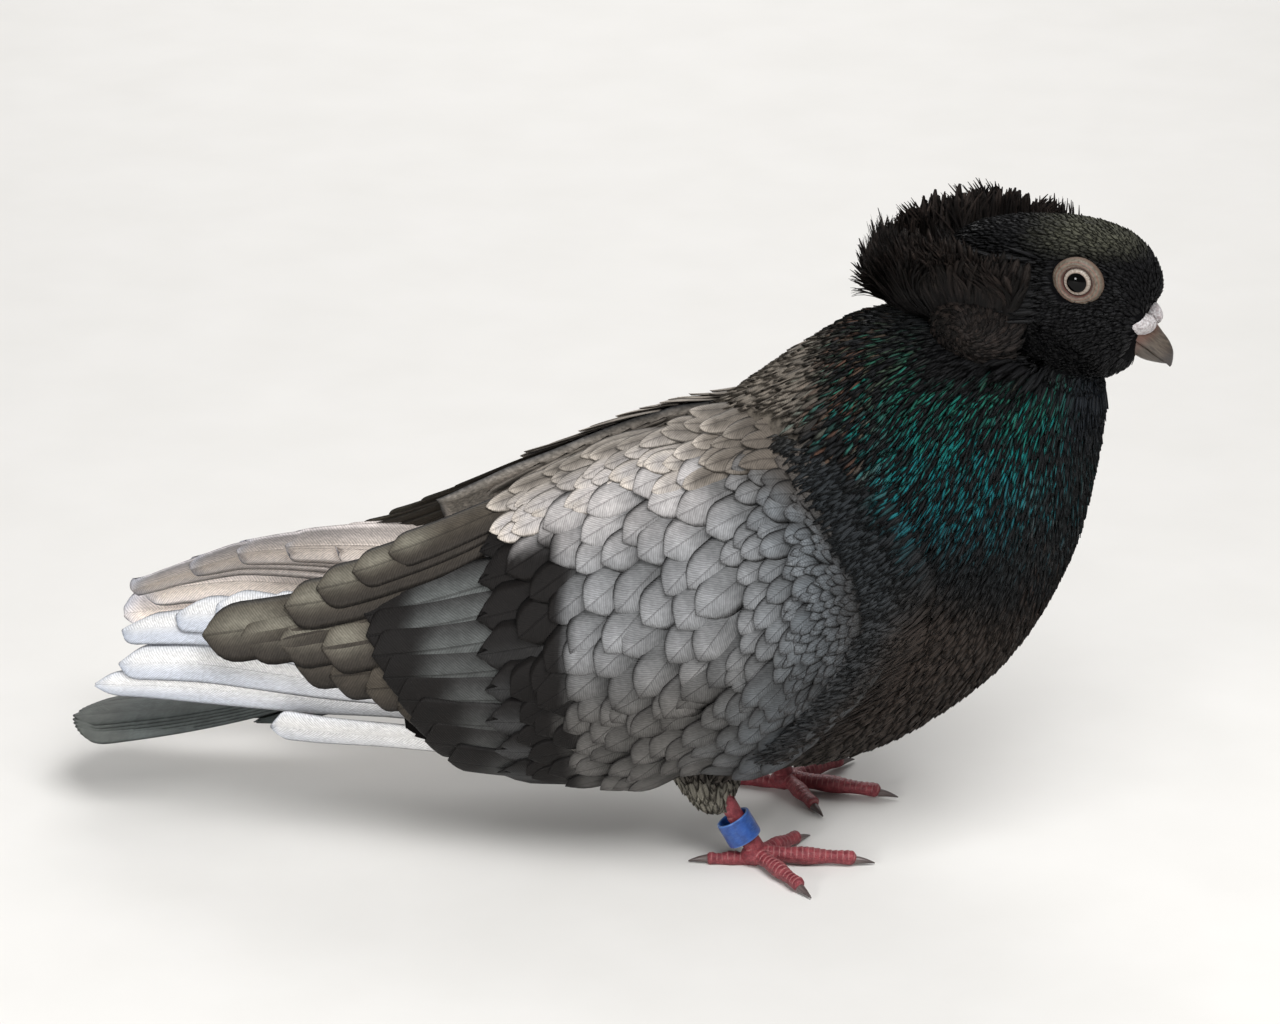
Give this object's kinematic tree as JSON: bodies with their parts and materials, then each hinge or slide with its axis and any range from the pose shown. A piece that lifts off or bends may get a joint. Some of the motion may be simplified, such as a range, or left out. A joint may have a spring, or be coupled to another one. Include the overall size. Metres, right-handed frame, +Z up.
{
  "type": "standing crested tumbler pigeon",
  "caption": "Life-size standing pigeon with a shell crest, folded wings and a ring on one leg, as a still museum model.",
  "frame": {"origin": "on the floor, under the middle of the whole bird's box", "axes": "+X the way the bird's body faces, +Y its left side, +Z up"},
  "size_m": [0.279, 0.0898, 0.1703],
  "materials": {
    "belly_feathers": "soft dark body feathers",
    "neck_feathers": "glossy black feathers with a green sheen",
    "head_feathers": "black feathers",
    "wing_feathers": "silver grey feathers with dark edges",
    "flight_feathers": "white flight feathers",
    "tail_feathers": "slate tail feathers",
    "eye": "wet pearl eye with a black pupil",
    "eye_ring_skin": "bare wrinkled skin",
    "bill_horn": "grey horn",
    "cere_skin": "chalky white skin",
    "leg_scales": "crimson scaled skin",
    "claw_horn": "dark horn",
    "leg_band_plastic": "blue plastic ring"
  },
  "bodies": {
    "root": {"torso": "belly_feathers", "neck": "neck_feathers", "head": "head_feathers", "crest_back": "head_feathers", "crest_left": "head_feathers", "crest_right": "head_feathers", "eye_left": "eye", "eye_right": "eye", "eye_ring_left": "eye_ring_skin", "eye_ring_right": "eye_ring_skin", "bill_upper": "bill_horn", "bill_lower": "bill_horn", "cere": "cere_skin", "wing_left": "wing_feathers", "wing_right": "wing_feathers", "secondaries_left": "wing_feathers", "secondaries_right": "wing_feathers", "primaries_left": "flight_feathers", "primaries_right": "flight_feathers", "tail": "tail_feathers", "thigh_left": "belly_feathers", "thigh_right": "belly_feathers", "foot_left": "leg_scales", "foot_right": "leg_scales", "claw_middle_left": "claw_horn", "claw_outer_left": "claw_horn", "claw_inner_left": "claw_horn", "claw_hind_left": "claw_horn", "claw_middle_right": "claw_horn", "claw_outer_right": "claw_horn", "claw_inner_right": "claw_horn", "claw_hind_right": "claw_horn", "leg_band": "leg_band_plastic"}
  },
  "joints": []
}
